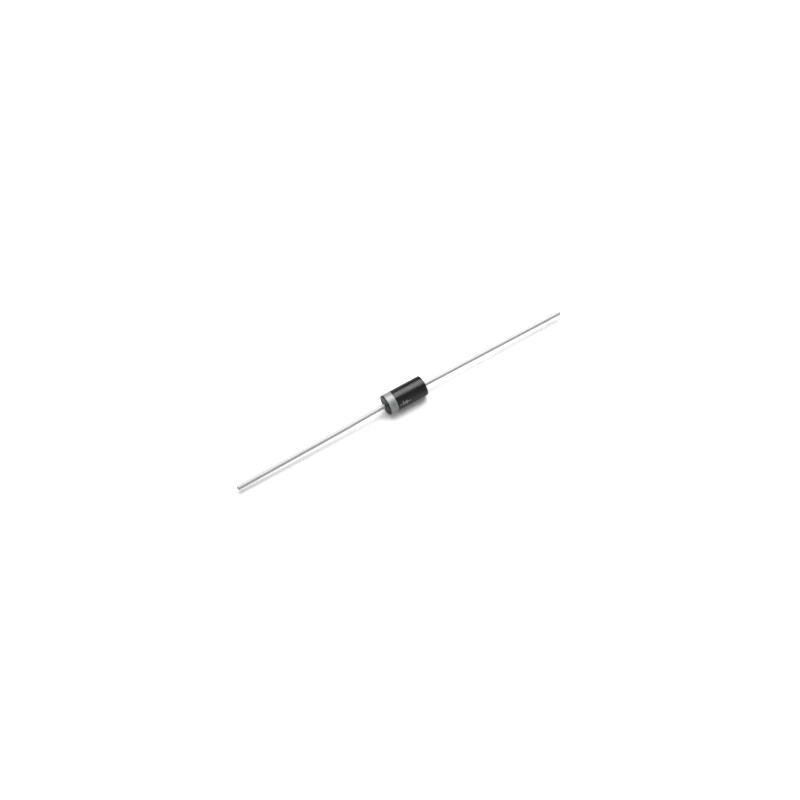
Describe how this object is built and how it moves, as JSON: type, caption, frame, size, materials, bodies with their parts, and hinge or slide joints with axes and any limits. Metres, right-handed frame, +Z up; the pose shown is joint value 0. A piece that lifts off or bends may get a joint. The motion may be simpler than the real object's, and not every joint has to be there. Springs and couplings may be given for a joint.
{
  "type": "axial rectifier diode",
  "caption": "Black moulded axial rectifier diode with a silver cathode band and two tinned wire leads, for soldering through a board.",
  "frame": {"origin": "middle of the moulded case, on the axis of the leads", "axes": "+X along the leads from the cathode to the anode, +Z up from the surface that the diode lies on, +Y away from the viewer"},
  "size_m": [0.0609, 0.0034, 0.0034],
  "materials": {
    "case_epoxy": "semi-gloss moulded epoxy, black",
    "band_ink": "silver-grey printing ink",
    "tinned_copper": "bright tin plating on copper wire",
    "silicon": "polished silicon",
    "solder": "reflowed solder",
    "silicone_rubber": "white silicone rubber"
  },
  "bodies": {
    "root": {"moulded_case": "case_epoxy", "cathode_band": "band_ink", "cathode_lead": "tinned_copper", "anode_lead": "tinned_copper", "rectifier_chip": "silicon", "cathode_solder": "solder", "anode_solder": "solder", "junction_coating": "silicone_rubber"}
  },
  "joints": []
}
